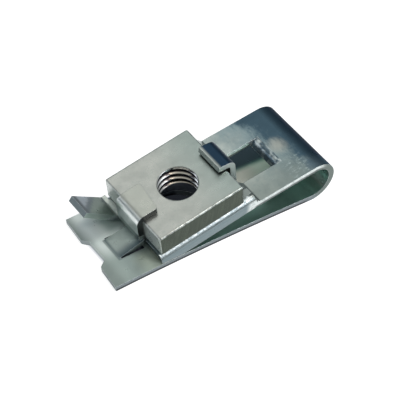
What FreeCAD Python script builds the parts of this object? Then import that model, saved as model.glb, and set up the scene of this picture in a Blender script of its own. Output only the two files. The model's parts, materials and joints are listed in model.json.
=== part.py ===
import FreeCAD, Part
import math
import os

from FreeCAD import Vector

# A U shaped speed nut: one folded strip of spring steel that clips over the edge of a panel, and a
# threaded plate that it holds loosely on its upper leg. All sizes are in millimetres.
#
# The pieces are drawn in the frame of the nut's seat: +X runs towards the closed bend, +Y across the
# strip to its back edge, and Z = 0 is the face that the nut sits on. At the end they are turned to
# lie as they rest: on the closed bend and the lower leg's free end, with the origin on that surface
# below the middle of the clip.

# The sheet
SHEET = 0.8
STRIP_WIDTH = 12.3
INNER_RADIUS = 0.35
CORNER_ROUND = 0.35

# The nut plate and its threaded hole, cut at the thread's core
NUT_LENGTH = 12.6
NUT_SIDE_INSET = 0.25
NUT_THICKNESS = 3.3
NUT_EDGE_ROUND = 0.25
NUT_CORNER_ROUND = 0.28
THREAD_CORE_RADIUS = 2.5
THREAD_MOUTH_CHAMFER = 0.3
THREAD_OFFSET_X = 0.35
THREAD_OFFSET_Y = -0.35

# The seat, raised above the rest of the upper leg and stiffened by edges turned down
SEAT_STEP = 1.2
STEP_ANGLE = 50.0
STEP_START = 0.6
SEAT_LAND = 0.45
SEAT_HOLE_RADIUS = 3.3
FLANGE_DEPTH = 1.9
FLANGE_END_FRONT = 1.75
FLANGE_END_BACK = 1.2
FLANGE_END_SLOPE = 0.35
FLANGE_LEG_GAP = 0.12

# The two legs and the closed bend between them
UPPER_SLOPE = 3.5
BEND_OUTER_RADIUS = 3.08
BEND_CENTRE_X = 17.1
LOWER_SLOPE = 15.8
LOWER_BOW_RADIUS = 350.0
LOWER_HOLE_RADIUS = 3.9

# The lower leg's free end: cut a little askew, with a shallow notch
END_X_BACK = -12.45
END_X_FRONT = -13.4
NOTCH_DEPTH = 0.95
NOTCH_FLOOR = 3.3
NOTCH_FLANK = 0.8
NOTCH_ROUND = 0.4
NOTCH_CENTRE_Y = -0.1

# The tab at the mouth, folded up and over the nut
TAB_WIDTH = 4.5
TAB_CENTRE_Y = -0.1
TAB_GAP = 0.02
TAB_REACH = 2.5
TAB_END_SKEW = 6.0
TAB_SLIT = 0.4
TAB_TOP_GAP = 0.05

# The hook at the closed side, cut free from the upper leg and folded back over the nut
HOOK_WIDTH = 4.2
HOOK_CENTRE_Y = -0.35
HOOK_GAP = 0.42
HOOK_RISE = 10.0
HOOK_REACH = 1.15
HOOK_TOP_GAP = 0.12

# The window that the hook was cut from, and the lip pressed down at its far end
WINDOW_WIDTH = 4.9
WINDOW_CENTRE_Y = -0.1
WINDOW_END_X = 14.5
WINDOW_ROUND = 0.3
LIP_ANGLE = 50.0
LIP_LENGTH = 0.5

# The ear at the back corner of the mouth, flared up to lead the panel in
EAR_ROOT_WIDTH = 3.75
EAR_END_WIDTH = 3.3
EAR_ROOT = 0.85
EAR_ANGLE = 43.0
EAR_FLAT = 5.1
EAR_BEND_RADIUS = 0.9

# The ramp cut out of the lower leg, which snaps into the panel's hole
RAMP_HINGE_X = -10.4
RAMP_LENGTH = 3.6
RAMP_WIDTH = 3.45
RAMP_CENTRE_Y = -0.85
RAMP_RISE_FRONT = 1.25
RAMP_RISE_BACK = 0.8
RAMP_SLIT = 0.18

# Places that follow from the sizes above
HALF_SHEET = SHEET / 2
HALF_WIDTH = STRIP_WIDTH / 2
HALF_NUT = NUT_LENGTH / 2
# The plate is as wide as the strip, less a little inset on each side
NUT_WIDTH = STRIP_WIDTH - 2 * NUT_SIDE_INSET
FOLD_RADIUS = INNER_RADIUS + HALF_SHEET
OUTER_RADIUS = INNER_RADIUS + SHEET
BEND_RADIUS = BEND_OUTER_RADIUS - HALF_SHEET
# How far the nut's rounded edge stays from a wall so that it clears the fold at the wall's foot
FOLD_CLEARANCE = max(INNER_RADIUS - NUT_EDGE_ROUND, 0)
TAB_WALL_X = -(HALF_NUT + FOLD_CLEARANCE + TAB_GAP + HALF_SHEET)
TAB_LOW_Y = TAB_CENTRE_Y - TAB_WIDTH / 2
TAB_HIGH_Y = TAB_CENTRE_Y + TAB_WIDTH / 2
HOOK_WALL_X = HALF_NUT + FOLD_CLEARANCE + HOOK_GAP + HALF_SHEET
SEAT_START_X = TAB_WALL_X + FOLD_RADIUS
EAR_LOW_Y = HALF_WIDTH - EAR_ROOT_WIDTH
STEP_X = HALF_NUT + STEP_START
WINDOW_START_X = HOOK_WALL_X - FOLD_RADIUS
# Longer than the clip, for cutting tools that reach right through it
BEYOND = 60.0


class Section:
    """The sheet's section along a path in the XZ plane: straight runs joined by arcs.

    The path is the middle of the sheet. Left is the side to the left of the heading.
    """

    def __init__(self, x, z, heading):
        self.point = Vector(x, 0, z)
        self.heading = math.radians(heading)
        self.left = []
        self.right = []
        self.hubs = []
        self.head = Part.LineSegment(self.beside(-HALF_SHEET), self.beside(HALF_SHEET)).toShape()

    def beside(self, distance):
        """The point at a distance to the left of the path's end."""
        return self.point + Vector(-math.sin(self.heading), 0, math.cos(self.heading)) * distance

    def forward(self, length):
        """Add a straight run."""
        before = [self.beside(HALF_SHEET), self.beside(-HALF_SHEET)]
        self.point += Vector(math.cos(self.heading), 0, math.sin(self.heading)) * length
        self.left.append(Part.LineSegment(before[0], self.beside(HALF_SHEET)).toShape())
        self.right.append(Part.LineSegment(before[1], self.beside(-HALF_SHEET)).toShape())

    def turn(self, radius, degrees):
        """Add an arc of this radius at mid thickness, turning left for a positive angle."""
        side = math.copysign(1.0, degrees)
        hub = self.beside(side * radius)
        self.hubs.append(hub)
        angle = math.radians(degrees)
        spokes = []
        for share in (0.0, 0.5, 1.0):
            heading = self.heading + angle * share
            spokes.append(Vector(math.sin(heading), 0, -math.cos(heading)) * side)
        for edges, offset in ((self.left, HALF_SHEET), (self.right, -HALF_SHEET)):
            through = [hub + spoke * (radius - side * offset) for spoke in spokes]
            edges.append(Part.Arc(*through).toShape())
        self.heading += angle
        self.point = hub + spokes[2] * radius

    def face(self):
        """The closed outline of the section."""
        tail = Part.LineSegment(self.beside(HALF_SHEET), self.beside(-HALF_SHEET)).toShape()
        outline = Part.__sortEdges__([self.head, *self.left, tail, *self.right])
        return Part.Face(Part.Wire(outline))

    def across(self, low_y, high_y):
        """The sheet with this section, from low_y to high_y across the strip."""
        return self.face().translated(Vector(0, low_y, 0)).extrude(Vector(0, high_y - low_y, 0))


def box(low, high):
    """A box between two opposite corners."""
    return Part.makeBox(*[b - a for a, b in zip(low, high)], Vector(*low))


def prism(outline, low_z, high_z):
    """An upright prism on an outline of X and Y pairs."""
    corners = [Vector(x, y, low_z) for x, y in outline]
    face = Part.Face(Part.makePolygon([*corners, corners[0]]))
    return face.extrude(Vector(0, 0, high_z - low_z))


def round_corners(shape, radius, chosen):
    """Round the straight edges whose middle and direction pass the test."""
    edges = []
    for edge in shape.Edges:
        if isinstance(edge.Curve, Part.Line):
            middle = edge.valueAt((edge.FirstParameter + edge.LastParameter) / 2)
            if chosen(middle, edge.Curve.Direction):
                edges.append(edge)
    return shape.makeFillet(radius, edges)


def strip_section():
    """The seat, the step down from it, the upper leg, the closed bend and the lower leg."""
    path = Section(SEAT_START_X, -HALF_SHEET, 0)
    path.forward(STEP_X - SEAT_START_X)
    steep = math.radians(STEP_ANGLE)
    level = math.radians(UPPER_SLOPE)
    in_arcs = FOLD_RADIUS * (1 - math.cos(steep)) + FOLD_RADIUS * (math.cos(level) - math.cos(steep))
    path.turn(FOLD_RADIUS, -STEP_ANGLE)
    path.forward((SEAT_STEP - in_arcs) / math.sin(steep))
    path.turn(FOLD_RADIUS, STEP_ANGLE - UPPER_SLOPE)
    tangent_x = BEND_CENTRE_X + BEND_RADIUS * math.sin(level)
    path.forward((tangent_x - path.point.x) / math.cos(level))
    path.turn(BEND_RADIUS, UPPER_SLOPE - LOWER_SLOPE - 180)
    run = (path.point.x - min(END_X_BACK, END_X_FRONT)) / -math.cos(path.heading) + SHEET
    path.turn(LOWER_BOW_RADIUS, math.degrees(run / LOWER_BOW_RADIUS))
    return path


STRIP = strip_section()
BEND_HUB, BOW_HUB = STRIP.hubs[-2:]


def upper_top(x):
    """Height of the upper leg's top face at x, between the step and the bend."""
    level = math.radians(UPPER_SLOPE)
    return BEND_HUB.z + (BEND_OUTER_RADIUS - (x - BEND_HUB.x) * math.sin(level)) / math.cos(level)


def lower_top(x):
    """Height of the lower leg's top face at x, and its slope in degrees, falling towards the bend."""
    radius = LOWER_BOW_RADIUS + HALF_SHEET
    angle = math.asin((x - BOW_HUB.x) / radius)
    return BOW_HUB.z + radius * math.cos(angle), math.degrees(angle)


def side_prism(outline):
    """A prism right across the strip, on an outline of X and Z pairs."""
    corners = [Vector(x, -HALF_WIDTH - 1, z) for x, z in outline]
    face = Part.Face(Part.makePolygon([*corners, corners[0]]))
    return face.extrude(Vector(0, STRIP_WIDTH + 2, 0))


def flange(side, end_x):
    """The seat's long edge turned down: side is -1 for the front and 1 for the back."""
    edge = Section(HALF_WIDTH - OUTER_RADIUS - SHEET, -HALF_SHEET, 0)
    edge.forward(SHEET)
    edge.turn(FOLD_RADIUS, -90)
    edge.forward(FLANGE_DEPTH - OUTER_RADIUS)
    start_x = SEAT_START_X - SEAT_LAND
    face = edge.face()
    face.rotate(Vector(0, 0, 0), Vector(0, 0, 1), 90)
    if side < 0:
        face = face.mirror(Vector(0, 0, 0), Vector(0, 1, 0))
    wall = face.translated(Vector(start_x, 0, 0)).extrude(Vector(end_x - start_x, 0, 0))
    sloped_end = [(end_x - FLANGE_END_SLOPE, 1), (end_x + 1, 1), (end_x + 1, -SEAT_STEP), (end_x, -SEAT_STEP)]
    clear = [(x, lower_top(x)[0] + FLANGE_LEG_GAP) for x in (start_x - 1, 0)]
    over_leg = [*clear, (0, -BEYOND), (start_x - 1, -BEYOND)]
    return wall.cut(side_prism(sloped_end)).cut(side_prism(over_leg))


def with_flanges(strip):
    """Narrow the seat's plate and give it its turned down long edges."""
    for side, end in ((-1, FLANGE_END_FRONT), (1, FLANGE_END_BACK)):
        end_x = HALF_NUT + end
        seat_edge = (OUTER_RADIUS, SEAT_START_X - 1, STEP_X, -1.5 * SHEET)
        step_edge = (SHEET, STEP_X, end_x, -FLANGE_DEPTH - SHEET)
        for inset, low_x, high_x, low_z in (seat_edge, step_edge):
            inner = side * (HALF_WIDTH - inset)
            outer = side * (HALF_WIDTH + 1)
            low = (low_x, min(inner, outer), low_z)
            strip = strip.cut(box(low, (high_x, max(inner, outer), 1)))
        strip = strip.fuse(flange(side, end_x))
    return strip


def lands():
    """The seat's two short lands beside the tab: in front of it, and behind it at the ear's root."""
    start_x = SEAT_START_X - SEAT_LAND
    plate_edge = HALF_WIDTH - OUTER_RADIUS
    front = box((start_x, -plate_edge, -SHEET), (SEAT_START_X, TAB_LOW_Y - TAB_SLIT, 0))
    back = box((start_x, EAR_LOW_Y, -SHEET), (SEAT_START_X, plate_edge, 0))
    return [front, back]


def tab():
    """The tab that rises at the mouth and folds flat over the nut."""
    path = Section(SEAT_START_X + SHEET, -HALF_SHEET, 180)
    path.forward(SHEET)
    path.turn(FOLD_RADIUS, -90)
    path.forward(NUT_THICKNESS + TAB_TOP_GAP - 2 * INNER_RADIUS)
    path.turn(FOLD_RADIUS, -90)
    path.forward(TAB_REACH - HALF_NUT - path.point.x + SHEET)
    end_x = TAB_REACH - HALF_NUT
    askew = box((0, -TAB_WIDTH, 0), (TAB_WIDTH, TAB_WIDTH, TAB_WIDTH))
    askew.rotate(Vector(0, 0, 0), Vector(0, 0, 1), -TAB_END_SKEW)
    askew.translate(Vector(end_x, TAB_CENTRE_Y, NUT_THICKNESS))
    return round_corners(
        path.across(TAB_LOW_Y, TAB_HIGH_Y).cut(askew),
        CORNER_ROUND,
        lambda middle, along: abs(along.z) > 0.99 and middle.z > NUT_THICKNESS and middle.x > end_x - 1,
    )


def hook():
    """The hook that rises behind the nut and folds back over its edge."""
    path = Section(WINDOW_START_X - SHEET, -HALF_SHEET, 0)
    path.forward(SHEET)
    path.turn(FOLD_RADIUS, 90)
    path.forward(NUT_THICKNESS + HOOK_TOP_GAP - 2 * INNER_RADIUS)
    path.turn(FOLD_RADIUS, 90 - HOOK_RISE)
    path.forward((path.point.x - HALF_NUT + HOOK_REACH) / math.cos(math.radians(HOOK_RISE)))
    half = HOOK_WIDTH / 2
    return path.across(HOOK_CENTRE_Y - half, HOOK_CENTRE_Y + half)


def ear():
    """The ear at the back corner, flared up and away from the lower leg."""
    path = Section(SEAT_START_X + SHEET, -HALF_SHEET, 180)
    path.forward(SHEET + EAR_ROOT)
    path.turn(EAR_BEND_RADIUS, -EAR_ANGLE)
    path.forward(EAR_FLAT)
    low = (SEAT_START_X - SEAT_LAND, HALF_WIDTH - OUTER_RADIUS, -2 * SHEET)
    over_flange = box(low, (0, HALF_WIDTH + 1, SHEET))
    taper = [
        (SEAT_START_X, EAR_LOW_Y),
        (path.point.x, HALF_WIDTH - EAR_END_WIDTH),
        (path.point.x - SHEET, HALF_WIDTH - EAR_END_WIDTH),
        (path.point.x - SHEET, 0),
        (SEAT_START_X, 0),
    ]
    beside = prism(taper, -SHEET, path.point.z + SHEET)
    return path.across(EAR_LOW_Y, HALF_WIDTH).cut([over_flange, beside])


def window():
    """The opening that the hook was cut from."""
    half = WINDOW_WIDTH / 2
    low = (WINDOW_START_X, WINDOW_CENTRE_Y - half, -SEAT_STEP - 3 * SHEET)
    cutter = box(low, (WINDOW_END_X, WINDOW_CENTRE_Y + half, 1))
    return round_corners(
        cutter,
        WINDOW_ROUND,
        lambda middle, along: abs(along.z) > 0.99 and middle.x > WINDOW_START_X + 1,
    )


def lip():
    """The window's far edge, pressed down by the tool that cut the hook."""
    root_x = WINDOW_END_X + SHEET
    thickness_z = HALF_SHEET / math.cos(math.radians(UPPER_SLOPE))
    path = Section(root_x, upper_top(root_x) - thickness_z, 180 - UPPER_SLOPE)
    path.forward(SHEET)
    path.turn(FOLD_RADIUS, LIP_ANGLE)
    path.forward(LIP_LENGTH)
    half = WINDOW_WIDTH / 2
    return path.across(WINDOW_CENTRE_Y - half, WINDOW_CENTRE_Y + half)


def end_cutter():
    """What is cut away at the lower leg's free end, with the notch."""
    slant = (END_X_BACK - END_X_FRONT) / STRIP_WIDTH
    middle_x = (END_X_BACK + END_X_FRONT) / 2

    def end_x(y):
        return middle_x + slant * y

    half = NOTCH_FLOOR / 2
    wide = half + NOTCH_FLANK
    front = NOTCH_CENTRE_Y - wide
    back = NOTCH_CENTRE_Y + wide
    outline = [
        (-BEYOND, -HALF_WIDTH - 1),
        (end_x(-HALF_WIDTH - 1), -HALF_WIDTH - 1),
        (end_x(front), front),
        (end_x(NOTCH_CENTRE_Y) + NOTCH_DEPTH, NOTCH_CENTRE_Y - half),
        (end_x(NOTCH_CENTRE_Y) + NOTCH_DEPTH, NOTCH_CENTRE_Y + half),
        (end_x(back), back),
        (end_x(HALF_WIDTH + 1), HALF_WIDTH + 1),
        (-BEYOND, HALF_WIDTH + 1),
    ]
    cutter = prism(outline, -BEYOND, SHEET)
    return round_corners(
        cutter,
        NOTCH_ROUND,
        lambda middle, along: abs(along.z) > 0.99 and abs(middle.y - NOTCH_CENTRE_Y) < wide + 0.1,
    )


def on_lower_leg(shape, x, y):
    """Move a shape from the origin to a place on the lower leg's top face, with its Z square to it."""
    height, slope = lower_top(x)
    shape.rotate(Vector(0, 0, 0), Vector(0, 1, 0), slope)
    shape.translate(Vector(x, y, height))
    return shape


def ramp():
    """The ramp: hinged at its left end, creased from the back of the hinge to its front free corner."""
    half = RAMP_WIDTH / 2
    top = {
        "hinge_front": Vector(0, -half, 0),
        "hinge_back": Vector(0, half, 0),
        "free_front": Vector(RAMP_LENGTH, -half, RAMP_RISE_FRONT),
        "free_back": Vector(RAMP_LENGTH, half, RAMP_RISE_BACK),
    }
    down = Vector(0, 0, -SHEET)
    triangles = (("hinge_front", "free_front", "hinge_back"), ("hinge_back", "free_front", "free_back"))
    halves = []
    for names in triangles:
        corners = [top[name] for name in names]
        halves.append(Part.Face(Part.makePolygon([*corners, corners[0]])).extrude(down))
    return on_lower_leg(halves[0].fuse(halves[1]), RAMP_HINGE_X, RAMP_CENTRE_Y)


def ramp_opening():
    """The hole that the ramp leaves in the lower leg, with a fine slit along its sides."""
    half = RAMP_WIDTH / 2 + RAMP_SLIT
    low = (SHEET / 4, -half, -2 * SHEET)
    return on_lower_leg(box(low, (RAMP_LENGTH, half, SHEET)), RAMP_HINGE_X, RAMP_CENTRE_Y)


def seat_hole():
    """The bolt's clearance hole in the seat, on the thread's axis."""
    start = Vector(THREAD_OFFSET_X, THREAD_OFFSET_Y, -2 * SHEET)
    return Part.makeCylinder(SEAT_HOLE_RADIUS, 3 * SHEET, start)


def leg_hole():
    """The bolt's clearance hole in the lower leg, punched square to it where the thread's axis meets it."""
    hole = Part.makeCylinder(LOWER_HOLE_RADIUS, 3 * SHEET, Vector(0, 0, -2 * SHEET))
    return on_lower_leg(hole, THREAD_OFFSET_X, THREAD_OFFSET_Y)


def spring_clip():
    """The folded strip, as one solid."""
    strip = STRIP.across(-HALF_WIDTH, HALF_WIDTH)
    strip = with_flanges(strip)
    strip = strip.cut(window())
    strip = strip.fuse([*lands(), tab(), hook(), ear(), lip()])
    strip = strip.cut(end_cutter())
    strip = strip.cut(ramp_opening()).fuse(ramp())
    strip = strip.cut([seat_hole(), leg_hole()])
    return strip.removeSplitter()


def nut_plate():
    """The threaded plate: punched from thick strip, so its edges are slightly rounded."""
    low = (-HALF_NUT, -NUT_WIDTH / 2, 0)
    plate = box(low, (HALF_NUT, NUT_WIDTH / 2, NUT_THICKNESS))
    plate = round_corners(plate, NUT_CORNER_ROUND, lambda middle, along: abs(along.z) > 0.99)
    rims = [edge for edge in plate.Edges if all(abs(v.Z - NUT_THICKNESS) < 1e-6 for v in edge.Vertexes)]
    feet = [edge for edge in plate.Edges if all(abs(v.Z) < 1e-6 for v in edge.Vertexes)]
    plate = plate.makeFillet(NUT_EDGE_ROUND, rims + feet)
    start = Vector(THREAD_OFFSET_X, THREAD_OFFSET_Y, 0)
    plate = plate.cut(Part.makeCylinder(THREAD_CORE_RADIUS, NUT_THICKNESS, start))
    wide = THREAD_CORE_RADIUS + THREAD_MOUTH_CHAMFER
    mouth = Part.makeCone(wide, THREAD_CORE_RADIUS, THREAD_MOUTH_CHAMFER, start)
    top = Vector(THREAD_OFFSET_X, THREAD_OFFSET_Y, NUT_THICKNESS - THREAD_MOUTH_CHAMFER)
    return plate.cut(mouth).cut(Part.makeCone(THREAD_CORE_RADIUS, wide, THREAD_MOUTH_CHAMFER, top))


def rest_tilt():
    """The angle, in degrees, between the seat and the surface that the clip lies on."""
    end_x = min(END_X_BACK, END_X_FRONT)
    radius = LOWER_BOW_RADIUS - HALF_SHEET
    end_z = BOW_HUB.z + math.sqrt(radius ** 2 - (end_x - BOW_HUB.x) ** 2)
    across = BEND_HUB - Vector(end_x, 0, end_z)
    fall = math.atan2(-across.z, across.x)
    return math.degrees(fall + math.asin(BEND_OUTER_RADIUS / across.Length))


def at_rest(shapes):
    """Turn the pieces about Y to lie on the bend and the lower leg's end, and centre them there."""
    tilt = rest_tilt()
    for shape in shapes.values():
        shape.rotate(Vector(0, 0, 0), Vector(0, 1, 0), -tilt)
    limits = Part.makeCompound(list(shapes.values())).optimalBoundingBox(False)
    shift = Vector(-limits.Center.x, -limits.Center.y, -limits.ZMin)
    for shape in shapes.values():
        shape.translate(shift)
    return tilt, shift


def report(shapes, tilt, shift):
    """Print the sizes and places that the record needs."""
    print("tilt", round(tilt, 3), "shift", [round(v, 4) for v in shift])
    for name, shape in shapes.items():
        limits = shape.optimalBoundingBox(False)
        low = [round(v, 3) for v in (limits.XMin, limits.YMin, limits.ZMin)]
        high = [round(v, 3) for v in (limits.XMax, limits.YMax, limits.ZMax)]
        print(name, len(shape.Solids), "solid", shape.isValid(), "volume", round(shape.Volume, 2), low, high)
    turn = FreeCAD.Rotation(Vector(0, 1, 0), -tilt)
    mid_sheet = Part.Vertex(0, 0, -HALF_SHEET)
    places = {
        "thread": Vector(THREAD_OFFSET_X, THREAD_OFFSET_Y, NUT_THICKNESS / 2),
        "seat hole": Vector(THREAD_OFFSET_X, THREAD_OFFSET_Y, -HALF_SHEET),
        "leg hole": on_lower_leg(mid_sheet, THREAD_OFFSET_X, THREAD_OFFSET_Y).Point,
    }
    for name, place in places.items():
        print(name, [round(v, 4) for v in turn.multVec(place) + shift])
    print("thread axis", [round(v, 6) for v in turn.multVec(Vector(0, 0, 1))])
    leg_turn = FreeCAD.Rotation(Vector(0, 1, 0), lower_top(THREAD_OFFSET_X)[1] - tilt)
    print("leg hole axis", [round(v, 6) for v in leg_turn.multVec(Vector(0, 0, 1))])


def main():
    os.makedirs("parts", exist_ok=True)
    shapes = {"spring_clip": spring_clip(), "nut_plate": nut_plate()}
    tilt, shift = at_rest(shapes)
    for name, shape in shapes.items():
        solid = shape.Solids[0] if len(shape.Solids) == 1 else shape
        solid.exportStep(f"parts/{name}.step")
    report(shapes, tilt, shift)


main()
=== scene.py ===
import json
import math

import bmesh
import bpy
import numpy as np
from mathutils import Matrix, Vector


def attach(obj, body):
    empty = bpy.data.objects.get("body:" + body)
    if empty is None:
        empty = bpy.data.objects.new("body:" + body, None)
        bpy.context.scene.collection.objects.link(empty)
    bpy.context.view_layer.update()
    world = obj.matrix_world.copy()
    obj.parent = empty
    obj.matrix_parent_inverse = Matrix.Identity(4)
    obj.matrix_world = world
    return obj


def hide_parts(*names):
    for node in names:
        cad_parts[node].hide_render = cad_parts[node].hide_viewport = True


bl_info = {
    "name": "U clip speed nut",
    "version": (1, 0, 0),
    "blender": (4, 5, 0),
    "location": "3D View > Sidebar > Speed nut",
    "description": "Threaded plate, folded spring clip and studio for a U clip speed nut",
    "category": "Add Mesh",
}

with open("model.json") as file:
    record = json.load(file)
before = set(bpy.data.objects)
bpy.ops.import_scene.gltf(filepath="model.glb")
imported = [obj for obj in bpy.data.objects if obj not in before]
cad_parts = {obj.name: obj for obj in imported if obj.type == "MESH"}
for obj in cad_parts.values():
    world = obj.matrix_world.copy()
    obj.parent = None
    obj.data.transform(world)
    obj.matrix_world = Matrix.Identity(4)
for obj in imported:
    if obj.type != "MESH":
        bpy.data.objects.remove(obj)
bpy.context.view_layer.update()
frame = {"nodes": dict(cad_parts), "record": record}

MM = 0.001


def thread_mount():
    """The record's entry for the threaded hole."""
    return next(mount for mount in frame["record"]["mounts"] if mount["name"] == "thread")


# The seat's axes as the part rests: up is the thread's axis, along runs towards the closed bend.
UP = -Vector(thread_mount()["axis"]).normalized()
ACROSS = Vector((0.0, 1.0, 0.0))
ALONG = ACROSS.cross(UP)
SEAT_AXES = np.array([ALONG, ACROSS, UP])


def node_points(name):
    """The vertices of one CAD node, as an array in metres."""
    mesh = frame["nodes"][name].data
    places = np.empty(len(mesh.vertices) * 3)
    mesh.vertices.foreach_get("co", places)
    return places.reshape(-1, 3)


def nut_limits():
    """Lowest and highest corner of the plate in the seat's axes."""
    places = node_points("nut_plate") @ SEAT_AXES.T
    return places.min(axis=0), places.max(axis=0)


NUT_LOW, NUT_HIGH = nut_limits()


def colour(text, alpha=1.0):
    """An sRGB hex colour as linear RGBA."""
    parts = [int(text[i : i + 2], 16) / 255 for i in (1, 3, 5)]
    linear = [p / 12.92 if p <= 0.04045 else ((p + 0.055) / 1.055) ** 2.4 for p in parts]
    return (*linear, alpha)


def add_node(tree, kind, settings=None, inputs=None):
    """Add a node. A setting is a property, and an input is a plain value or another node's output."""
    node = tree.nodes.new(kind)
    for name, value in (settings or {}).items():
        setattr(node, name, value)
    for name, value in (inputs or {}).items():
        if isinstance(value, bpy.types.NodeSocket):
            tree.links.new(value, node.inputs[name])
        else:
            node.inputs[name].default_value = value
    return node


# What each point of the plate is marked with, for its material
MARKS = ("side", "rim", "bore", "groove", "depth")


def region(tree, values, limits, strength=1.0):
    """A mask: the product of its limits and of its strength.

    A limit is the name of an earlier mask, or a value's name with where the mask is 0 and where it is 1.
    """
    mask = None
    for limit in limits:
        if isinstance(limit, str):
            step = values[limit]
        else:
            name, none, full = limit
            inputs = {"Value": values[name], "From Min": none, "From Max": full}
            smooth = {"interpolation_type": "SMOOTHSTEP"}
            step = add_node(tree, "ShaderNodeMapRange", smooth, inputs).outputs["Result"]
        if mask is None:
            mask = step
        else:
            mask = add_node(tree, "ShaderNodeMath", {"operation": "MULTIPLY"}, {0: mask, 1: step}).outputs[0]
    if strength != 1.0:
        mask = add_node(tree, "ShaderNodeMath", {"operation": "MULTIPLY"}, {0: mask, 1: strength}).outputs[0]
    return mask


def paint(tree, values, base, patches):
    """Mix each patch's tone over the base, in order. A tone is a hex colour or the name of a value."""
    for name, tone, strength, limits in patches:
        tone = values[tone] if tone in values else colour(tone)
        inputs = {0: region(tree, values, limits, strength), 6: base, 7: tone}
        base = add_node(tree, "ShaderNodeMix", {"data_type": "RGBA", "label": name}, inputs).outputs[2]
    return base


def weighted_sum(tree, start, *terms):
    """A start plus other values, each times its own weight."""
    for value, weight in terms:
        inputs = {0: value, 1: weight, 2: start}
        start = add_node(tree, "ShaderNodeMath", {"operation": "MULTIPLY_ADD"}, inputs).outputs[0]
    return start


def seat_place(tree, stretch=(1.0, 1.0, 1.0)):
    """The piece's own coordinates in millimetres, turned to the seat's axes and stretched."""
    place = add_node(tree, "ShaderNodeTexCoord").outputs["Object"]
    turn = (0.0, math.atan2(ALONG.z, ALONG.x), 0.0)
    inputs = {"Vector": place, "Rotation": turn, "Scale": [share / MM for share in stretch]}
    return add_node(tree, "ShaderNodeMapping", {"vector_type": "POINT"}, inputs).outputs["Vector"]


def grain(tree, size, detail, roughness=0.55, stretch=(1.0, 1.0, 1.0)):
    """Noise in the seat's axes whose features are about size millimetres across."""
    place = seat_place(tree, stretch)
    inputs = {"Vector": place, "Scale": 1 / size, "Detail": detail, "Roughness": roughness}
    return add_node(tree, "ShaderNodeTexNoise", None, inputs).outputs["Fac"]


def new_material(name):
    """An empty material with its node tree, surface shader and output joined."""
    material = bpy.data.materials.new(name)
    material.use_nodes = True
    tree = material.node_tree
    tree.nodes.clear()
    shader = add_node(tree, "ShaderNodeBsdfPrincipled", None, {"Metallic": 1.0})
    add_node(tree, "ShaderNodeOutputMaterial", None, {"Surface": shader.outputs["BSDF"]})
    return material, tree, shader


# How high the bumps in the plating stand
DENT_HEIGHT = 0.05 * MM
DENT_STRENGTH = 0.35
GRAIN_HEIGHT = 0.006 * MM


def finish_metal(tree, shader, base, low_rough, high_rough, grain_strength, bump=None):
    """Plated steel's surface: cloudy roughness, shallow dents, rolling lines and fine specks.

    The lines and specks of the real sheet are finer, and are drawn as coarse as the picture can show.
    """
    clouds = grain(tree, size=1.6, detail=4.0)
    inputs = {"Value": clouds, "From Min": 0.3, "From Max": 0.7, "To Min": low_rough, "To Max": high_rough}
    rough = add_node(tree, "ShaderNodeMapRange", None, inputs).outputs["Result"]
    tree.links.new(rough, shader.inputs["Roughness"])
    tree.links.new(base, shader.inputs["Base Color"])
    dents = grain(tree, size=2.8, detail=1.0)
    rolling_lines = grain(tree, size=0.16, detail=2.0, stretch=(0.12, 1.0, 1.0))
    specks = grain(tree, size=0.11, detail=2.0)
    layers = (
        (dents, DENT_HEIGHT, DENT_STRENGTH),
        (rolling_lines, GRAIN_HEIGHT, grain_strength),
        (specks, GRAIN_HEIGHT, grain_strength),
    )
    for height, distance, strength in layers:
        inputs = {"Height": height, "Distance": distance, "Strength": strength}
        if bump is not None:
            inputs["Normal"] = bump
        bump = add_node(tree, "ShaderNodeBump", None, inputs).outputs["Normal"]
    tree.links.new(bump, shader.inputs["Normal"])


def set_metallic(tree, shader, dull, bright_level, dull_level):
    """Metallic falls from the bright level to the dull one where the dull mask is 1."""
    inputs = {"Value": dull, "To Min": bright_level, "To Max": dull_level}
    metallic = add_node(tree, "ShaderNodeMapRange", None, inputs).outputs["Result"]
    tree.links.new(metallic, shader.inputs["Metallic"])


# Patches of tone. Each has its name, tone and strength, and then its limits as region takes them.
# Facings run from -1 to 1, noise and the plate's own marks from 0 to 1, and lengths are in millimetres
# from the part's origin: x towards the closed bend, y to the back and z up.
PLATE_TOP_PATCHES = (
    ("clouds in the plating", "#a8aaa5", 1.0, (("clouds", 0.35, 0.68),)),
    # The plate's half towards the bend is painted darker, as the hook's shadow
    ("painted shadow of the hook", "#949f9b", 1.0, (("along", -4.5, 4.0),)),
    ("dull grain", "#98a09b", 0.6, (("fine", 0.5, 0.78),)),
)
# The sides are painted dark olive, as the dark floor in front that they mirror, with drag lines; the end at
# the mouth is painted lit
PLATE_SIDE_PATCHES = (
    ("drag lines", "#475045", 1.0, (("drags", 0.35, 0.7),)),
    ("lit end", "#e2e8e4", 1.0, (("facing_x", -0.5, -0.9),)),
)
# Crests are painted with highlights as they catch two lamps, cream between them and dark beyond, and the
# grooves are painted dark as shade
THREAD_PATCHES = (
    ("lit crest", "#ffffff", 1.0, (("sideways", 0.28, 0.4),)),
    ("gap between the lamps", "#5a5456", 1.0, (("sideways", 0.22, 0.3), ("sideways", 0.4, 0.32))),
    ("crest beyond the lamps", "#55636a", 1.0, (("sideways", 0.56, 0.74),)),
    ("groove", "#17161d", 1.0, (("groove", 0.12, 0.6),)),
)
PLATE_PATCHES = (
    ("sides in painted shade", "side_shade_tone", 1.0, ("side",)),
    ("thread", "thread_highlight_tone", 1.0, ("bore",)),
    ("painted shade at the foot of the hole", "#34323c", 1.0, ("bore", ("depth", 0.95, 1.0))),
    # The rim's rounded edge is painted with a speckled highlight, except where it faces the mouth
    ("painted highlight on the rim", "#dde3de", 1.0, ("rim", ("rim_speckle", 0.25, 0.7), ("facing_x", -0.4, -0.2))),
)
# Level with the seat, the way a crest turns as it leaves the lamps on either side, which places the crests'
# painted highlights
CREST_TURN = ALONG * 0.81 - ACROSS * 0.584


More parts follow.
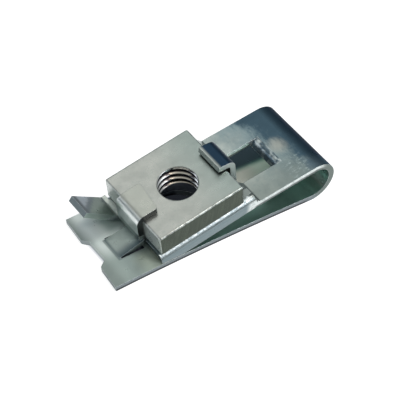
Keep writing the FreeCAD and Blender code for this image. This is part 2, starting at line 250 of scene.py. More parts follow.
def plate_values(tree):
    """What the plate's patches are placed by: its own marks, facings, noise and the place along the seat."""
    values = {}
    for name in MARKS:
        values[name] = add_node(tree, "ShaderNodeAttribute", {"attribute_name": name}).outputs["Fac"]
    along = add_node(tree, "ShaderNodeSeparateXYZ", None, {"Vector": seat_place(tree)})
    normal = add_node(tree, "ShaderNodeTexCoord").outputs["Normal"]
    facing = add_node(tree, "ShaderNodeSeparateXYZ", None, {"Vector": normal})
    away_from_lamps = {0: normal, 1: tuple(CREST_TURN)}
    turned = add_node(tree, "ShaderNodeVectorMath", {"operation": "DOT_PRODUCT"}, away_from_lamps)
    values["along"] = along.outputs["X"]
    values["facing_x"] = facing.outputs["X"]
    sideways = add_node(tree, "ShaderNodeMath", {"operation": "ABSOLUTE"}, {0: turned.outputs["Value"]})
    values["sideways"] = sideways.outputs[0]
    values["clouds"] = grain(tree, size=2.2, detail=5.0)
    values["fine"] = grain(tree, size=0.3, detail=3.0)
    values["rim_speckle"] = grain(tree, size=0.6, detail=2.0)
    values["drags"] = grain(tree, size=0.35, detail=3.0, stretch=(1.0, 1.0, 0.1))
    return values


def nut_material(plating):
    """Zinc plated steel, punched from thick strip: warm grey satin top, olive sides painted dark as mirrored
    shade, and crests painted bright as highlights.
    """
    material, tree, shader = new_material("zinc_plated_steel_plate")
    values = plate_values(tree)
    values["side_shade_tone"] = paint(tree, values, colour("#3d453c"), PLATE_SIDE_PATCHES)
    values["thread_highlight_tone"] = paint(tree, values, colour("#fff4e4"), THREAD_PATCHES)
    base = paint(tree, values, (*plating, 1.0), PLATE_TOP_PATCHES + PLATE_PATCHES)
    finish_metal(tree, shader, base, low_rough=0.24, high_rough=0.36, grain_strength=0.25)
    # The sheared end at the mouth is the dullest
    sheared_end = region(tree, values, ("side", ("facing_x", -0.5, -0.9)))
    set_metallic(tree, shader, sheared_end, bright_level=1.0, dull_level=0.4)
    return material


# Masks on the clip that several patches share, each made from those before it. The loop is the room
# between the legs, ragged is x made uneven by noise, slant is x less most of y, outside is how far a face
# looks up and towards the bend, and outward is the distance from the strip's middle.
CLIP_REGIONS = {
    "upper": (("z", 0.8, 3.4), ("outside", 0.0, 0.5)),
    "bend": ("upper", ("ragged", 12.0, 14.6)),
    "near_the_bend": ("upper", ("x", 9.6, 11.2), ("x", 13.6, 12.4)),
    "up": (("facing_z", 0.5, 0.8),),
    "leg_top": ("up", ("z", 2.2, 1.4)),
    "left_face": (("facing_x", -0.4, -0.8),),
    "window_light": ("leg_top", ("y", 2.6, 1.6), ("y", -2.0, -1.0)),
    "near_leg": ("leg_top", ("y", -2.6, -4.0)),
    "under_seat": ("leg_top", ("y", -4.4, -3.9)),
    "ramp_hinge": ("leg_top", ("x", -14.25, -14.0), ("x", -13.5, -13.8), ("y", -3.0, -2.7), ("y", 1.0, 0.8)),
    "ramp": (("facing_x", -0.08, -0.16), ("z", 3.4, 3.0), ("x", -9.6, -10.2), ("y", 1.8, 1.3)),
    "ear": (("x", -10.4, -11.0), ("z", 2.2, 2.5), ("y", 2.2, 2.4)),
    "ear_top": ("ear", "up"),
    "window": (("y", -2.75, -2.5), ("y", 2.6, 2.4)),
    "lip": ("window", ("x", 9.3, 9.5), ("x", 10.75, 10.6), ("z", 4.4, 4.6)),
    "flange_wall": (("sideways", 0.75, 0.97), ("x", -12.0, -11.0), ("z", 1.15, 1.3)),
    "flange_round": (("sideways", 0.2, 0.45), ("sideways", 0.85, 0.65), ("x", -12.0, -11.0), ("z", 1.2, 1.5)),
    "leg_end": ("leg_top", ("x", -8.0, -10.0)),
    "riser": (("x", 2.4, 2.8), ("x", 5.0, 4.6), ("z", 2.2, 2.6), ("facing_x", -0.18, -0.24)),
    "round_the_bend": (("bend_radius", 2.68, 2.5),),
    "under_the_leg": (("leg_height", 3.36, 3.16),),
    "underside": (("bow_radius", 350.0, 349.85),),
}
SATIN_PATCHES = (
    ("clouds in the plating", "#b2b9b4", 1.0, (("clouds", 0.35, 0.66),)),
    ("dull grain", "#939f9b", 0.6, (("fine", 0.5, 0.75),)),
)
# The upper leg is painted darker towards the closed bend, as a painted reflection of the dark part of the
# room, and so is the hook
UPPER_LEG_PATCHES = (
    ("upper leg towards the bend", "#7b8f95", 1.0, ("upper", ("ragged", 5.0, 14.5))),
    ("upper leg's near half", "#77827f", 0.7, ("upper", ("y", 1.0, -5.5))),
    ("closed bend", "#445a67", 1.0, ("bend",)),
    ("bend's near edge", "#7b8a92", 0.4, ("bend", ("y", -3.2, -5.8))),
    ("lighter spot", "#b0b1a9", 0.7, ("upper", ("from_spot", 2.6, 1.0))),
    ("scuffs", "#b4c2c2", 0.7, ("near_the_bend", ("y", -2.2, -3.4), ("streaks", 0.5, 0.68))),
    ("hook", "#253d52", 1.0, (("z", 7.6, 8.4), ("x", 0.2, 0.7))),
)
# Walls at the mouth are painted light, for the bright side of the room that they face, and the leg below
# carries their painted reflection
MOUTH_PATCHES = (
    ("walls at the mouth", "#e4e9e7", 1.0, ("left_face", ("x", 0.0, -4.0))),
    ("lower leg's end face", "#7b8588", 1.0, ("left_face", ("z", 1.3, 1.1), ("x", -13.5, -14.5))),
    ("tab's top", "#b1b2aa", 0.8, ("up", ("x", -6.0, -6.4), ("z", 4.4, 4.7))),
)
# Painted reflection and shade on the lower leg: inside the loop the legs are painted as mirroring each other,
# green and dark, and darker still below the window; the light through the window, the mirrored light behind
# and the near side at the mouth are painted light, and a teal shade is painted by the ear
LOWER_LEG_PATCHES = (
    ("lower leg at the mouth", "#a3b0aa", 1.0, ("leg_top", ("x", -5.5, -9.0))),
    ("mirrored light behind", "#eef5f1", 1.0, ("leg_top", ("y", -2.8, 0.5), ("x", -8.0, -11.5))),
    ("lower leg in the loop", "#86a99f", 1.0, ("leg_top", ("x", -8.0, -4.0))),
    ("dark strip behind the window", "#42535c", 1.0, ("leg_top", ("y", 1.9, 2.9), ("x", 6.0, 7.0))),
    ("light through the window", "#f2f0e6", 1.0, ("window_light", ("x", 4.6, 5.8))),
    ("shade under the seat", "#50525e", 1.0, ("under_seat", ("x", -9.0, -7.6), ("x", 5.4, 4.2))),
    ("near side at the mouth", "#c3cdbd", 1.0, ("near_leg", ("x", -13.5, -11.0), ("x", -6.0, -9.0))),
    ("outermost foot", "#8d9893", 1.0, ("leg_top", ("x", -14.4, -16.4))),
    ("inside of the bend", "#a6c2b8", 1.0, (("outside", 0.0, -0.4), ("x", 13.2, 14.6))),
    ("painted teal shade by the ear", "#abc1ba", 0.6, ("leg_top", ("x", -13.4, -12.0), ("y", 0.6, 2.4), ("x", -8.0, -9.0))),
)
# The ramp and the ear are painted darker, as they lean away from the light; the ramp's near half and hinge
# are painted shade, and across the ear lie the plate's painted shadow, edged by a dark band, and a painted
# dark line at its end
RAMP_AND_EAR_PATCHES = (
    ("ramp", "#a3afaa", 1.0, ("ramp",)),
    ("ramp's near half", "#4f5f64", 1.0, ("ramp", ("y", -1.0, -2.5))),
    ("ramp's hinge", "#6c7a7b", 0.8, ("ramp_hinge",)),
    ("ear", "#a9b2b8", 1.0, ("ear",)),
    ("plate's painted shadow on the ear", "#86948c", 1.0, ("ear_top", ("slant", -17.6, -16.9))),
    ("dark band at the painted shadow's edge", "#5a676c", 0.8, ("ear_top", ("slant", -18.3, -17.5), ("slant", -16.6, -17.4))),
    ("painted dark line at the ear's end", "#5b656b", 1.0, ("ear_top", ("x", -14.6, -15.1))),
    ("ear's end face", "#7f8a8e", 1.0, ("ear", ("facing_x", -0.5, -0.8))),
)
TORN_PATCHES = (("lit tears", "#c8d1d0", 1.0, (("tears", 0.42, 0.66),)),)
SPOTTED_PATCHES = (("lit spots", "#eef4f4", 1.0, (("fine", 0.42, 0.62),)),)
# Sheared faces are painted bright as highlights on the upper leg, and painted dark as shade on their inner
# half round the loop, where they hang low, at the bend, at the underside's edge and on the tab's side
SHEARED_PATCHES = (
    ("shear marks", "#bcc5c4", 1.0, (("fine", 0.4, 0.7),)),
    ("inner half round the loop", "#36423f", 0.85, ("inner_half", ("x", 3.6, 4.2), ("z", 1.4, 2.0))),
    ("low", "#767f83", 1.0, (("z", 3.0, 0.8),)),
    ("at the bend", "#68736f", 1.0, (("x", 13.8, 15.5),)),
    ("high", "#b3bcb9", 1.0, (("z", 5.8, 6.6),)),
    ("underside's edge", "#1a2126", 1.0, ("underside", ("x", 13.6, 12.6), ("z", 1.6, 1.2))),
    ("tab's side", "#161d20", 0.95, (("x", -6.4, -6.6), ("z", 2.9, 3.1), ("y", 1.0, 0.0))),
    ("ear's side", "#b3c2bc", 1.0, ("ear", ("y", 5.0, 4.6))),
)
SIDE_PATCHES = (
    ("torn lip", "torn_tone", 1.0, ("lip",)),
    ("sheared faces", "sheared_tone", 1.0, (("sideways", 0.85, 0.95),)),
    ("seat's turned down edge", "#7d8c90", 1.0, ("flange_wall", ("x", 3.4, 2.4), ("outward", 4.8, 5.4))),
    # The seat edge's rounded top is painted with spotted highlights
    ("its rounded top", "spotted_tone", 1.0, ("flange_round", ("x", 3.8, 3.2), ("outward", 4.6, 5.0))),
)
# The tones below lie over the finished colour
UNPOLISHED_PATCHES = (("no edge highlight or polish at the bend", "satin", 1.0, (("bend", 0.2, 0.8),)),)
EDGE_PATCHES = (
    ("painted highlight and polish on the edges", "highlight_and_polish_tone", 0.75, (("agree", 0.985, 0.88), ("fine", 0.3, 0.55))),
)
SHEEN_PATCHES = (("dark bend", "#6a737a", 1.0, ("bend",)),)

# Places on the clip in millimetres: the middle of the closed bend, of the lower leg's bow and of a lighter
# patch
BEND_HUB = (13.86, 0.0, 3.08)
BOW_HUB = (-1.48, 0.0, -349.27)
LIGHTER_SPOT = (11.7, -0.2, 5.8)
# The direction that measures how high a place is within the upper leg's thickness
LEG_UP = (-0.17, 0.0, 0.985)


def clip_grain(tree):
    """The clip's noises: clouds, fine grain, scratches across the strip, streaks along it and torn metal."""
    return {
        "clouds": grain(tree, size=2.4, detail=5.0, roughness=0.6),
        "fine": grain(tree, size=0.5, detail=4.0, roughness=0.65),
        "scratches": grain(tree, size=0.55, detail=6.0, roughness=0.7, stretch=(1.0, 0.35, 1.0)),
        "streaks": grain(tree, size=0.3, detail=4.0, roughness=0.7, stretch=(0.35, 1.0, 1.0)),
        "tears": grain(tree, size=1.1, detail=2.0, roughness=0.6, stretch=(1.6, 0.8, 1.0)),
    }


def clip_places(tree):
    """Where a point of the clip is, in millimetres, and which way it faces, on their own axes."""
    coordinates = add_node(tree, "ShaderNodeTexCoord")
    in_mm = {0: coordinates.outputs["Object"], "Scale": 1 / MM}
    place = add_node(tree, "ShaderNodeVectorMath", {"operation": "SCALE"}, in_mm).outputs["Vector"]
    axes = add_node(tree, "ShaderNodeSeparateXYZ", None, {"Vector": place})
    facing = add_node(tree, "ShaderNodeSeparateXYZ", None, {"Vector": coordinates.outputs["Normal"]})
    values = {}
    for name in "XYZ":
        values[name.lower()] = axes.outputs[name]
        values[f"facing_{name.lower()}"] = facing.outputs[name]
    for name, signed in (("sideways", "facing_y"), ("outward", "y")):
        size = add_node(tree, "ShaderNodeMath", {"operation": "ABSOLUTE"}, {0: values[signed]})
        values[name] = size.outputs[0]
    return place, values


def clip_measures(tree, place):
    """Distances from the clip's hubs in millimetres, and the height within the upper leg."""
    in_section = {0: place, 1: (1.0, 0.0, 1.0)}
    section = add_node(tree, "ShaderNodeVectorMath", {"operation": "MULTIPLY"}, in_section).outputs["Vector"]
    measures = (
        ("from_spot", "DISTANCE", place, LIGHTER_SPOT),
        ("bend_radius", "DISTANCE", section, BEND_HUB),
        ("bow_radius", "DISTANCE", section, BOW_HUB),
        ("leg_height", "DOT_PRODUCT", section, LEG_UP),
    )
    values = {}
    for name, operation, start, end in measures:
        measure = add_node(tree, "ShaderNodeVectorMath", {"operation": operation}, {0: start, 1: end})
        values[name] = measure.outputs["Value"]
    return values


def clip_values(tree):
    """All that the clip's patches are placed by, with the shared masks and the patterned tones."""
    place, values = clip_places(tree)
    values.update(clip_grain(tree))
    values.update(clip_measures(tree, place))
    x, y, clouds, fine, scratches = (values[name] for name in ("x", "y", "clouds", "fine", "scratches"))
    values["outside"] = weighted_sum(tree, values["facing_x"], (values["facing_z"], 1.0))
    values["ragged"] = weighted_sum(tree, -2.0, (x, 1.0), (clouds, 3.5), (y, 0.28), (scratches, 4.0))
    values["slant"] = weighted_sum(tree, x, (y, -0.9), (fine, 1.0))
    values["from_spot"] = weighted_sum(tree, values["from_spot"], (scratches, 1.5))
    for name, limits in CLIP_REGIONS.items():
        values[name] = region(tree, values, limits)
    inner_half = (("inner half of the bend", "round_the_bend", 1.0, (("x", 13.2, 13.6),)),)
    values["inner_half"] = paint(tree, values, values["under_the_leg"], inner_half)
    values["torn_tone"] = paint(tree, values, colour("#586972"), TORN_PATCHES)
    values["spotted_tone"] = paint(tree, values, colour("#a6b2b5"), SPOTTED_PATCHES)
    values["sheared_tone"] = paint(tree, values, colour("#e4ebe9"), SHEARED_PATCHES)
    return values


def clip_material(plating, edge_ease):
    """Zinc plated spring steel: cool grey satin, edges painted bright as highlight and polish, and painted
    blue-black reflection where it turns away from the light.
    """
    material, tree, shader = new_material("zinc_plated_spring_steel")
    values = clip_values(tree)
    upper = SATIN_PATCHES + UPPER_LEG_PATCHES + MOUTH_PATCHES
    lower = LOWER_LEG_PATCHES + RAMP_AND_EAR_PATCHES + SIDE_PATCHES
    values["satin"] = paint(tree, values, (*plating, 1.0), upper + lower)
    # Eased edges: rounded for the light, and found where the rounded normal leaves the true one
    eased = add_node(tree, "ShaderNodeBevel", {"samples": 8}, {"Radius": edge_ease}).outputs["Normal"]
    both = {0: eased, 1: add_node(tree, "ShaderNodeTexCoord").outputs["Normal"]}
    agree = add_node(tree, "ShaderNodeVectorMath", {"operation": "DOT_PRODUCT"}, both)
    values["agree"] = agree.outputs["Value"]
    # Edges are painted bright, partly as highlight and partly as polish from handling, but not at the bend
    values["highlight_and_polish_tone"] = paint(tree, values, colour("#dfe6e6"), UNPOLISHED_PATCHES)
    base = paint(tree, values, values["satin"], EDGE_PATCHES)
    finish_metal(tree, shader, base, low_rough=0.26, high_rough=0.4, grain_strength=0.3, bump=eased)
    # The lower leg's end and the step's riser are the dullest
    ends = {0: values["leg_end"], 1: values["riser"]}
    dullest = add_node(tree, "ShaderNodeMath", {"operation": "MAXIMUM"}, ends).outputs[0]
    set_metallic(tree, shader, dullest, bright_level=0.85, dull_level=0.35)
    # The bend's reflections are tinted dark, as a painted dark reflection
    sheen = paint(tree, values, colour("#ffffff"), SHEEN_PATCHES)
    tree.links.new(sheen, shader.inputs["Specular Tint"])
    return material


# The plate's shape in millimetres. The thread is cut outwards from the core radius in the record.
EDGE_ROUND = 0.25
CORNER_ROUND = 0.28
MOUTH_CHAMFER = 0.08
PITCH = 1.0
# Where on the mouth the helix starts, as a share of a turn
THREAD_PHASE = 0.25
# The thread's profile over one pitch, as shares of the pitch and of the depth: crest, flank, root, flank
PROFILE_PLACES = (0.0, 0.12, 0.42, 0.72, 0.99)
PROFILE_DEPTHS = (0.0, 0.0, 1.0, 1.0, 0.0)
# The groove starts this far inside the mouth and is at full depth after the run-out
RUN_OUT_START = 0.05
RUN_OUT = 0.2
# How finely the surface is divided: the step along the outline in millimetres, points on a corner, and
# rows up a rounded edge, up a side, across a face and down the bore
OUTLINE_STEP = 0.1
CORNER_POINTS = 9
ROUND_ROWS = 6
SIDE_ROWS = 12
FACE_ROWS = 26
BORE_ROWS = 76


def plate_outline(half_x, half_y, radius, step):
    """Points and outward directions around a rounded rectangle, counter-clockwise.

    Each corner is a quarter circle about its own hub, and even steps along the side lead to the next.
    """
    places = []
    outward = []
    signs = ((1, 1), (-1, 1), (-1, -1), (1, -1))
    hubs = [np.array([(half_x - radius) * sx, (half_y - radius) * sy]) for sx, sy in signs]
    for k, hub in enumerate(hubs):
        angles = math.pi / 2 * (k + np.linspace(0, 1, CORNER_POINTS))
        spokes = np.stack([np.cos(angles), np.sin(angles)], axis=1)
        start = hub + radius * spokes[-1]
        end = hubs[(k + 1) % len(hubs)] + radius * spokes[-1]
        count = math.ceil(np.linalg.norm(end - start) / step)
        shares = np.arange(1, count)[:, None] / count
        places += [hub + radius * spokes, start + (end - start) * shares]
        outward += [spokes, np.repeat(spokes[-1:], count - 1, axis=0)]
    return np.concatenate(places), np.concatenate(outward)


def thread_radius(angles, z, height, core, thread_depth):
    """Radius of the threaded bore at one height, and how far into the groove each point is.

    The phase is the height in pitches less the angle in turns, which is a right-handed helix. The depth
    follows a trapezium of the phase and runs out at both mouths, which are cones of 45 degrees.
    """
    phase = np.mod(z / (PITCH * MM) - angles / (2 * math.pi) + THREAD_PHASE, 1.0)
    shape = np.interp(phase, PROFILE_PLACES, PROFILE_DEPTHS)
    edge = np.minimum(z, height - z)
    fade = np.clip((edge - RUN_OUT_START * MM) / (RUN_OUT * MM), 0.0, 1.0)
    mouth = core + MOUTH_CHAMFER * MM - edge
    return np.maximum(core + thread_depth * shape * fade, mouth), shape * fade


def nut_surface(thread_depth):
    """Rows of points that close on themselves both ways, like a ring with a square outside.

    Each column stands at one place of the plate's outline, and goes up its side, over the rounded edge, in
    across the top, down the threaded bore and out across the bottom.
    """
    thread = np.array(thread_mount()["pos_m"]) @ SEAT_AXES.T
    middle = (NUT_LOW + NUT_HIGH) / 2
    half_x, half_y, _ = (NUT_HIGH - NUT_LOW) / 2
    height = NUT_HIGH[2] - NUT_LOW[2]
    edge = EDGE_ROUND * MM
    border, outward = plate_outline(half_x, half_y, CORNER_ROUND * MM, OUTLINE_STEP * MM)
    axis = thread[:2] - middle[:2]
    angles = np.unwrap(np.arctan2(border[:, 1] - axis[1], border[:, 0] - axis[0]))
    spokes = np.stack([np.cos(angles), np.sin(angles)], axis=1)
    core = thread_mount()["dims"]["r_mm"] * MM
    rows = []
    marks = []

    def add_row(flat, z, side=0.0, rim=0.0, bore=0.0, groove=0.0):
        level = np.ones(len(flat))
        rows.append(np.column_stack([flat + middle[:2], level * (z + NUT_LOW[2])]))
        marks.append(np.outer(level, [side, rim, bore, 0.0, 1 - z / height]))
        marks[-1][:, MARKS.index("groove")] = groove

    def face_rows(z, inward):
        inner = axis + spokes * (core + MOUTH_CHAMFER * MM)
        outer = border - outward * edge
        shares = np.linspace(0, 1, FACE_ROWS)
        for share in shares if inward else shares[::-1]:
            add_row(outer + (inner - outer) * share, z)

    quarter = math.pi / 2
    for turn in np.linspace(0, quarter, ROUND_ROWS)[1:]:
        add_row(border - outward * edge * (1 - math.sin(turn)), edge * (1 - math.cos(turn)), side=1.0)
    for z in np.linspace(edge, height - edge, SIDE_ROWS)[1:]:
        add_row(border, z, side=1.0)
    for turn in np.linspace(0, quarter, ROUND_ROWS)[1:-1]:
        flat = border - outward * edge * (1 - math.cos(turn))
        add_row(flat, height - edge * (1 - math.sin(turn)), side=1 - turn / quarter, rim=math.sin(2 * turn))
    face_rows(height, True)
    for z in np.linspace(height, 0, BORE_ROWS)[1:-1]:
        radius, groove = thread_radius(angles, z, height, core, thread_depth)
        add_row(axis + spokes * radius[:, None], z, bore=1.0, groove=groove)
    face_rows(0.0, False)
    return np.array(rows) @ SEAT_AXES, np.array(marks)


def closed_mesh(name, rows):
    """A mesh from a grid of points that closes on itself both ways, with its faces outwards."""
    down, round_count, _ = rows.shape
    index = np.arange(down * round_count).reshape(down, round_count)
    below = np.roll(index, -1, axis=0)
    faces = np.stack([index, np.roll(index, -1, axis=1), np.roll(below, -1, axis=1), below], axis=-1)
    mesh = bpy.data.meshes.new(name)
    mesh.from_pydata(rows.reshape(-1, 3), [], faces.reshape(-1, 4))
    mesh.polygons.foreach_set("use_smooth", np.ones(len(mesh.polygons), dtype=bool))
    mesh.update()
    return mesh


def add_object(name, mesh, material):
    """Link a mesh as an object at the origin with one material."""
    mesh.materials.clear()
    mesh.materials.append(material)
    thing = bpy.data.objects.new(name, mesh)
    bpy.context.scene.collection.objects.link(thing)
    return thing


def write_attribute(mesh, name, values):
    """Store one number for each point, for the material to read."""
    layer = mesh.attributes.new(name, "FLOAT", "POINT")
    layer.data.foreach_set("value", np.ascontiguousarray(values, dtype=np.float32))


def build_nut(settings):
    """The threaded plate, with its helix cut in."""
    rows, marks = nut_surface(settings.thread_depth)
    mesh = closed_mesh("nut", rows)
    for k, name in enumerate(MARKS):
        write_attribute(mesh, name, marks[:, :, k].ravel())
    nut = add_object("nut", mesh, nut_material(settings.plating))
    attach(nut, "root")
    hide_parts("nut_plate")


# Turns in degrees: faces that meet flatter than the first are joined, and a turn past the second is a
# hard edge. Points nearer than SAME_PLACE, in metres, are one point.
FLAT_TURN = 0.2
SHARP_TURN = 24
SAME_PLACE = 1e-7
# How far the larger of the faces that meet decides the shading, in per cent
LARGE_FACE_WEIGHT = 100


def build_clip(settings):
    """The folded strip: the CAD's faces joined up, smooth round its folds and hard at its cut edges."""
    shape = bmesh.new()
    shape.from_mesh(frame["nodes"]["spring_clip"].data)
    bmesh.ops.remove_doubles(shape, verts=shape.verts, dist=SAME_PLACE)
    flat_turn = math.radians(FLAT_TURN)
    bmesh.ops.dissolve_limit(shape, angle_limit=flat_turn, verts=shape.verts, edges=shape.edges)
    bmesh.ops.recalc_face_normals(shape, faces=shape.faces)
    mesh = bpy.data.meshes.new("clip")
    shape.to_mesh(mesh)
    shape.free()
    mesh.polygons.foreach_set("use_smooth", np.ones(len(mesh.polygons), dtype=bool))
    mesh.set_sharp_from_angle(angle=math.radians(SHARP_TURN))
    clip = add_object("clip", mesh, clip_material(settings.plating, settings.edge_ease))
    shading = clip.modifiers.new("flat_faces_stay_flat", "WEIGHTED_NORMAL")
    shading.mode = "FACE_AREA"
    shading.weight = LARGE_FACE_WEIGHT
    shading.keep_sharp = True
    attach(clip, "root")
    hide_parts("spring_clip")


# The painted shadow of floor below the part, in millimetres: its middle, half its size, and its soft edge
SHADE_MIDDLE = {"X": -1.2, "Y": 0.0}
SHADE_HALF = {"X": 14.0, "Y": 5.0}
SHADE_EDGE = 0.5
# How strongly the paper glows in the open, and below the part, where its dim glow is part of the painted
# shadow
OPEN_GLOW = 0.84
SHADE_GLOW = 0.022
# Half the paper's width in metres
FLOOR_HALF = 1.5


def open_floor(tree):
    """A mask that is 1 on the floor around the part and 0 below it."""
    place = add_node(tree, "ShaderNodeTexCoord").outputs["Object"]
    in_mm = {0: place, "Scale": 1 / MM}
    place = add_node(tree, "ShaderNodeVectorMath", {"operation": "SCALE"}, in_mm).outputs["Vector"]
    axes = add_node(tree, "ShaderNodeSeparateXYZ", None, {"Vector": place})
    values = {}
    for name in "XY":
        offset = weighted_sum(tree, -SHADE_MIDDLE[name], (axes.outputs[name], 1.0))
        values[name] = add_node(tree, "ShaderNodeMath", {"operation": "ABSOLUTE"}, {0: offset}).outputs[0]
    beside = [
        region(tree, values, ((name, SHADE_HALF[name] - SHADE_EDGE, SHADE_HALF[name] + SHADE_EDGE),))
        for name in "XY"
    ]
    return add_node(tree, "ShaderNodeMath", {"operation": "MAXIMUM"}, {0: beside[0], 1: beside[1]}).outputs[0]


def floor_material():
    """Matt white paper: it glows for the camera and for mirrors in metal, and has a painted shadow below the
    part.
    """
    material = bpy.data.materials.new("white_paper")
    material.use_nodes = True
    tree = material.node_tree
    tree.nodes.clear()
    path = add_node(tree, "ShaderNodeLightPath")
    seen = path.outputs["Is Camera Ray"]
    for name in ("Is Glossy Ray", "Is Transmission Ray"):
        rays = {0: seen, 1: path.outputs[name]}
        seen = add_node(tree, "ShaderNodeMath", {"operation": "MAXIMUM"}, rays).outputs[0]
    open_air = open_floor(tree)
    values = {"open_air": open_air}
    levels = {0: region(tree, values, ("open_air",), OPEN_GLOW), 1: SHADE_GLOW}
    level = add_node(tree, "ShaderNodeMath", {"operation": "MAXIMUM"}, levels).outputs[0]
    strength = add_node(tree, "ShaderNodeMath", {"operation": "MULTIPLY"}, {0: seen, 1: level}).outputs[0]
    tone = paint(tree, values, colour("#c9d6f0"), (("white in the open", "#ffffff", 1.0, ("open_air",)),))
    glow = add_node(tree, "ShaderNodeEmission", None, {"Color": tone, "Strength": strength})
    shade = paint(tree, values, colour("#1a1b20"), (("paper in the open", "#bcbcbc", 1.0, ("open_air",)),))
    paper = add_node(tree, "ShaderNodeBsdfDiffuse", None, {"Color": shade})
    both = add_node(tree, "ShaderNodeAddShader", None, {0: glow.outputs[0], 1: paper.outputs[0]})
    add_node(tree, "ShaderNodeOutputMaterial", None, {"Surface": both.outputs[0]})
    return material


def build_floor():
    """A large flat sheet of paper at height 0."""
    mesh = bpy.data.meshes.new("floor")
    corners = [(x * FLOOR_HALF, y * FLOOR_HALF, 0.0) for x, y in ((-1, -1), (1, -1), (1, 1), (-1, 1))]
    mesh.from_pydata(corners, [], [(0, 1, 2, 3)])
    floor = add_object("floor", mesh, floor_material())


def build_world():
    """A dim blue-grey room, brighter overhead."""
    world = bpy.data.worlds.new("studio_room")
    bpy.context.scene.world = world
    world.use_nodes = True
    tree = world.node_tree
    tree.nodes.clear()
    direction = add_node(tree, "ShaderNodeTexCoord").outputs["Generated"]
    values = {"height": add_node(tree, "ShaderNodeSeparateXYZ", None, {"Vector": direction}).outputs["Z"]}
    shade = paint(tree, values, colour("#616d75"), (("overhead", "#bdc1c0", 1.0, (("height", 0.35, 0.85),)),))
    background = add_node(tree, "ShaderNodeBackground", None, {"Color": shade, "Strength": 1.0})
    add_node(tree, "ShaderNodeOutputWorld", None, {"Surface": background.outputs[0]})


# Each lamp: its name, direction from the part, size in metres, the setting for its power, its share of
# that power, and its tint
LAMPS = (
    ("key", (0.11, 0.524, 0.844), 0.42, "key_power", 1.0, "#fdfffc"),
    ("side", (0.46, -0.7, 0.54), 0.28, "side_power", 1.0, "#f4f8ff"),
    ("left", (-0.66, 0.5, 0.55), 0.16, "side_power", 0.12, "#f4f8ff"),
    ("front", (0.1, -0.43, 0.9), 0.14, "side_power", 0.3, "#fff6ee"),
)
# From the part to each lamp, in metres
LAMP_DISTANCE = 0.6


def add_lamp(name, direction, size, power, tint):
    """A square soft lamp that looks at the part from one direction."""
    data = bpy.data.lights.new(name, "AREA")
    data.shape = "SQUARE"
    data.size = size
    data.energy = power
    data.color = colour(tint)[:3]
    lamp = bpy.data.objects.new(name, data)
    place = Vector(direction).normalized()
    turn = place.to_track_quat("Z", "Y").to_matrix().to_4x4()
    lamp.matrix_world = Matrix.Translation(place * LAMP_DISTANCE) @ turn
    bpy.context.scene.collection.objects.link(lamp)


# The camera, fitted to the plate and the strip as the photograph shows them. Its right and back directions
# are in the seat's axes. Its distance, in metres, is from the middle of the plate's top.
CAMERA_RIGHT = (0.8077, -0.5844, -0.0775)
CAMERA_BACK = (-0.3023, -0.5236, 0.7965)
CAMERA_DISTANCE = 0.211
CAMERA_LENS = 154.77
CAMERA_SENSOR = 36.0
CAMERA_SHIFT = (0.0657, -0.0422)
CAMERA_NEAR = 0.01


def from_seat(place):
    """A vector in the seat's axes, turned to the part's own."""
    along, across, up = place
    return ALONG * along + ACROSS * across + UP * up


def build_camera():
    """A short telephoto from the front left, framed by shifting the lens."""
    right = from_seat(CAMERA_RIGHT)
    back = from_seat(CAMERA_BACK).normalized()
    right = (right - back * right.dot(back)).normalized()
    up = back.cross(right)
    middle = (NUT_LOW + NUT_HIGH) / 2
    place = from_seat((middle[0], middle[1], NUT_HIGH[2])) + back * CAMERA_DISTANCE
    data = bpy.data.cameras.new("camera")
    data.sensor_width = CAMERA_SENSOR
    data.lens = CAMERA_LENS
    data.shift_x, data.shift_y = CAMERA_SHIFT
    data.clip_start = CAMERA_NEAR
    camera = bpy.data.objects.new("camera", data)
    turn = Matrix((right, up, back)).transposed().to_4x4()
    camera.matrix_world = Matrix.Translation(place) @ turn
    bpy.context.scene.collection.objects.link(camera)
    bpy.context.scene.camera = camera


def plating_property(piece, tone):
    """A colour setting for one piece, with a hex colour as its default."""
    return bpy.props.FloatVectorProperty(
        name="Plating",
        description=f"Brightest tone of the {piece}'s plating",
        default=colour(tone)[:3],
        min=0.0,
        max=1.0,
        size=3,
        subtype="COLOR",
    )


class PlateSettings(bpy.types.PropertyGroup):
    """Sizes and colour of the threaded plate."""

    plating: plating_property("plate", "#b2b3ae")
    thread_depth: bpy.props.FloatProperty(
        name="Thread depth",
        description="How far the thread's groove is cut beyond its core",
        default=0.5 * MM,
        min=0.0,
        precision=5,
        subtype="DISTANCE",
        unit="LENGTH",
    )


class ClipSettings(bpy.types.PropertyGroup):
    """Colour and edges of the folded strip."""

    plating: plating_property("strip", "#c2c7c0")
    edge_ease: bpy.props.FloatProperty(
        name="Edge ease",
        description="Width of the eased edges of the strip",
        default=0.07 * MM,
        min=0.0,
        precision=5,
        subtype="DISTANCE",
        unit="LENGTH",
    )


class LightSettings(bpy.types.PropertyGroup):
    """Strength of the studio's lamps."""

    key_power: bpy.props.FloatProperty(
        name="Key",
        description="Power of the soft lamp overhead",
        default=0.36,
        min=0.0,
        unit="POWER",
    )
    side_power: bpy.props.FloatProperty(
        name="Side",
        description="Power of the lamp at the front, which the two small lamps follow",
        default=1.3,
        min=0.0,
        unit="POWER",
    )


class OBJECT_OT_speed_nut_plate(bpy.types.Operator):
    """Add the threaded plate"""

    bl_idname = "object.speed_nut_plate"
    bl_label = "Threaded plate"

    def execute(self, context):
        build_nut(context.scene.speed_nut_plate)
        return {"FINISHED"}


class OBJECT_OT_speed_nut_clip(bpy.types.Operator):
    """Add the folded spring clip"""

    bl_idname = "object.speed_nut_clip"
    bl_label = "Spring clip"

    def execute(self, context):
        build_clip(context.scene.speed_nut_clip)
        return {"FINISHED"}


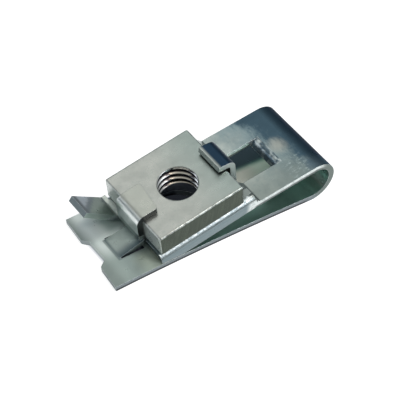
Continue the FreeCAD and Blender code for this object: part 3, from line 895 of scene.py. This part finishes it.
class OBJECT_OT_speed_nut_stage(bpy.types.Operator):
    """Add the floor, the room, the lamps and the camera"""

    bl_idname = "object.speed_nut_stage"
    bl_label = "Studio"

    def execute(self, context):
        settings = context.scene.speed_nut_light
        build_floor()
        build_world()
        for name, direction, size, power, share, tint in LAMPS:
            add_lamp(name, direction, size, getattr(settings, power) * share, tint)
        build_camera()
        context.scene.view_settings.view_transform = "Standard"
        return {"FINISHED"}


class VIEW3D_PT_speed_nut(bpy.types.Panel):
    """Panel with the pieces' settings and buttons"""

    bl_label = "Speed nut"
    bl_idname = "VIEW3D_PT_speed_nut"
    bl_space_type = "VIEW_3D"
    bl_region_type = "UI"
    bl_category = "Speed nut"

    def draw(self, context):
        scene = context.scene
        shown = (
            (scene.speed_nut_plate, ("plating", "thread_depth")),
            (scene.speed_nut_clip, ("plating", "edge_ease")),
            (scene.speed_nut_light, ("key_power", "side_power")),
        )
        for settings, names in shown:
            for name in names:
                self.layout.prop(settings, name)
        for name in ("object.speed_nut_plate", "object.speed_nut_clip", "object.speed_nut_stage"):
            self.layout.operator(name)


CLASSES = (
    PlateSettings,
    ClipSettings,
    LightSettings,
    OBJECT_OT_speed_nut_plate,
    OBJECT_OT_speed_nut_clip,
    OBJECT_OT_speed_nut_stage,
    VIEW3D_PT_speed_nut,
)


def register():
    for item in CLASSES:
        bpy.utils.register_class(item)
    bpy.types.Scene.speed_nut_plate = bpy.props.PointerProperty(type=PlateSettings)
    bpy.types.Scene.speed_nut_clip = bpy.props.PointerProperty(type=ClipSettings)
    bpy.types.Scene.speed_nut_light = bpy.props.PointerProperty(type=LightSettings)


def unregister():
    del bpy.types.Scene.speed_nut_light
    del bpy.types.Scene.speed_nut_clip
    del bpy.types.Scene.speed_nut_plate
    for item in reversed(CLASSES):
        bpy.utils.unregister_class(item)


def main():
    register()
    bpy.ops.object.speed_nut_plate()
    bpy.ops.object.speed_nut_clip()
    bpy.ops.object.speed_nut_stage()


if __name__ == "__main__":
    main()
